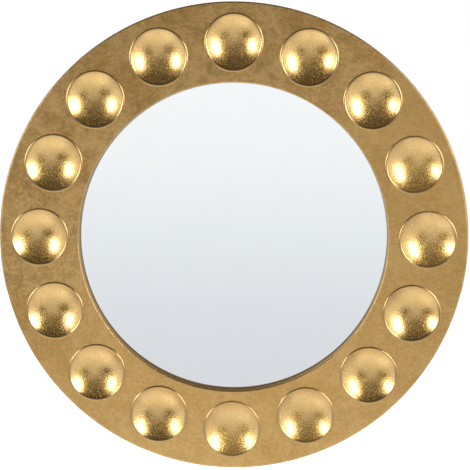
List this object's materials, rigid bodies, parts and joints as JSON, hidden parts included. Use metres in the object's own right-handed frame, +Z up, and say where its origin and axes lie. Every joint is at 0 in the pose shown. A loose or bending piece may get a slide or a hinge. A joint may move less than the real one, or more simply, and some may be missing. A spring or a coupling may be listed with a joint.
{
  "type": "girandole mirror",
  "caption": "Round wall mirror: flat glass in a broad flat gilded ring set with a circle of round hollow gilded bowls, hung by D-rings.",
  "frame": {"origin": "centre of the back panel's rear face, on the axis of the ring", "axes": "-Y out of the front of the mirror, +Y to the wall, +Z up, +X to the right as seen from the front"},
  "size_m": [0.8, 0.0394, 0.8],
  "materials": {
    "gilded_ring": "board covered in gold-coloured metal leaf, satin, mottled",
    "gilded_bowl": "pressed sheet steel covered in gold-coloured metal leaf, glossy, finely crinkled",
    "mirror_glass": "silvered flat glass",
    "felt": "black pressed felt",
    "board": "raw medium density fibreboard",
    "zinc_steel": "zinc plated",
    "rubber": "matt grey"
  },
  "bodies": {
    "mirror": {"ring_frame": "gilded_ring", "bowl_01": "gilded_bowl", "bowl_02": "gilded_bowl", "bowl_03": "gilded_bowl", "bowl_04": "gilded_bowl", "bowl_05": "gilded_bowl", "bowl_06": "gilded_bowl", "bowl_07": "gilded_bowl", "bowl_08": "gilded_bowl", "bowl_09": "gilded_bowl", "bowl_10": "gilded_bowl", "bowl_11": "gilded_bowl", "bowl_12": "gilded_bowl", "bowl_13": "gilded_bowl", "bowl_14": "gilded_bowl", "bowl_15": "gilded_bowl", "bowl_16": "gilded_bowl", "mirror_glass": "mirror_glass", "glass_pad": "felt", "back_panel": "board", "panel_screw_01": "zinc_steel", "panel_screw_02": "zinc_steel", "panel_screw_03": "zinc_steel", "panel_screw_04": "zinc_steel", "panel_screw_05": "zinc_steel", "panel_screw_06": "zinc_steel", "panel_screw_07": "zinc_steel", "panel_screw_08": "zinc_steel", "hanger_strap_left": "zinc_steel", "hanger_strap_right": "zinc_steel", "strap_screw_left_01": "zinc_steel", "strap_screw_left_02": "zinc_steel", "strap_screw_right_01": "zinc_steel", "strap_screw_right_02": "zinc_steel", "bumper_01": "rubber", "bumper_02": "rubber", "bumper_03": "rubber", "bumper_04": "rubber"},
    "ring_left": {"d_ring_left": "zinc_steel"},
    "ring_right": {"d_ring_right": "zinc_steel"}
  },
  "joints": [
    {"name": "d_ring_left_hinge", "type": "hinge", "parent": "mirror", "child": "ring_left", "pos_m": [-0.27563, 0.0029, 0.18417], "axis": [-1, 0, 0], "range_deg": [0, 180]},
    {"name": "d_ring_right_hinge", "type": "hinge", "parent": "mirror", "child": "ring_right", "pos_m": [0.27563, 0.0029, 0.18417], "axis": [-1, 0, 0], "range_deg": [0, 180]}
  ]
}
